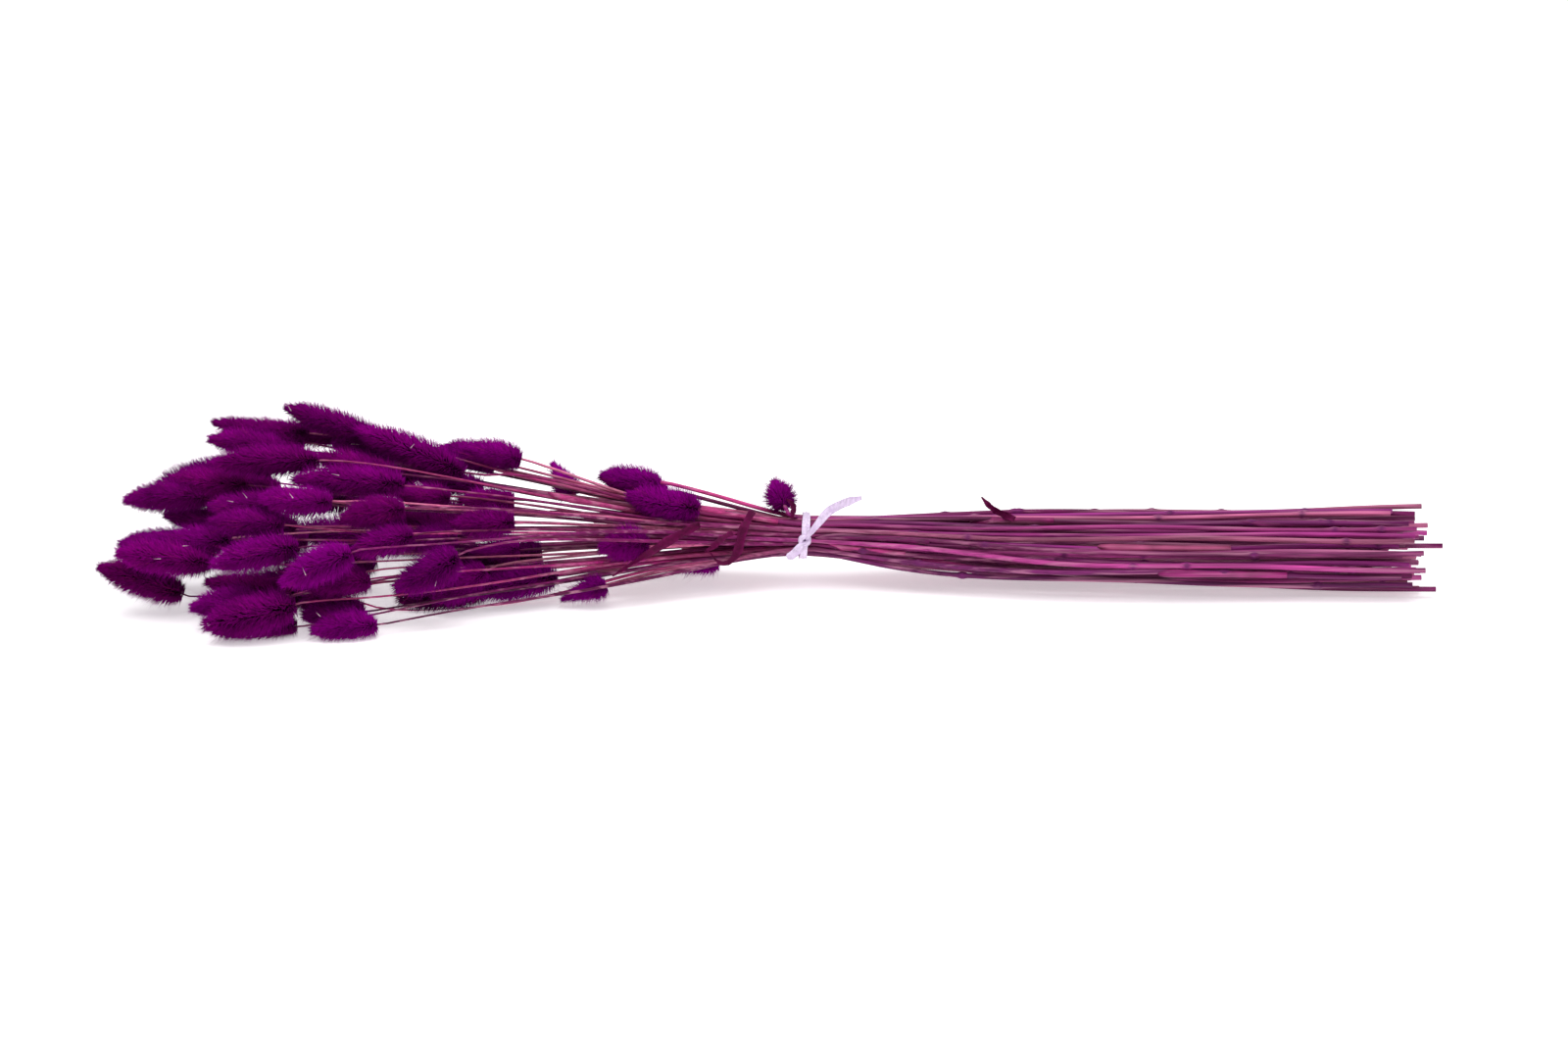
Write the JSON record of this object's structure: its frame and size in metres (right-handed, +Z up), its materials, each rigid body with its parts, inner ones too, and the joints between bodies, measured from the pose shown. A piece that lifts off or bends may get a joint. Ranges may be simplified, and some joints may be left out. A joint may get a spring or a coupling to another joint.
{
  "type": "dried grass bundle",
  "caption": "Bundle of dried bunny tail grass, dyed purple, lying on its side: soft oval heads on thin stems cut to one length and tied at the waist with a narrow pale strip.",
  "frame": {"origin": "on the table, under the centre of the bundle's box", "axes": "+X along the stems from the heads to the cut ends, +Z up, and the picture looks along +Y"},
  "size_m": [0.6088, 0.163, 0.0893],
  "materials": {
    "heads": "soft fine hairs",
    "upper_stems": "dry straw, dyed pink",
    "lower_stems": "dry straw, dyed magenta",
    "leaves": "dry and curled",
    "tie": "satin, slightly translucent"
  },
  "bodies": {
    "root": {"head_02": "heads", "head_03": "heads", "head_05": "heads", "head_07": "heads", "head_08": "heads", "head_10": "heads", "head_11": "heads", "head_12": "heads", "head_13": "heads", "head_14": "heads", "head_15": "heads", "head_16": "heads", "head_17": "heads", "head_18": "heads", "head_21": "heads", "head_22": "heads", "head_23": "heads", "head_24": "heads", "head_25": "heads", "head_27": "heads", "head_28": "heads", "head_29": "heads", "head_30": "heads", "head_32": "heads", "head_33": "heads", "head_34": "heads", "head_35": "heads", "head_36": "heads", "head_37": "heads", "head_38": "heads", "head_39": "heads", "head_40": "heads", "head_41": "heads", "head_43": "heads", "head_46": "heads", "heads_01": "heads", "heads_04": "heads", "heads_06": "heads", "heads_09": "heads", "heads_19": "heads", "heads_20": "heads", "heads_26": "heads", "heads_31": "heads", "heads_42": "heads", "heads_44": "heads", "heads_45": "heads", "heads_47": "heads", "heads_48": "heads", "heads_49": "heads", "leaf_by_tuft": "leaves", "leaf_crown": "leaves", "leaf_folded": "leaves", "leaf_hanging": "leaves", "leaf_low": "leaves", "stems_1": "lower_stems", "stems_2": "lower_stems", "stems_3": "upper_stems", "stems_4": "upper_stems", "tie": "tie"}
  },
  "joints": []
}
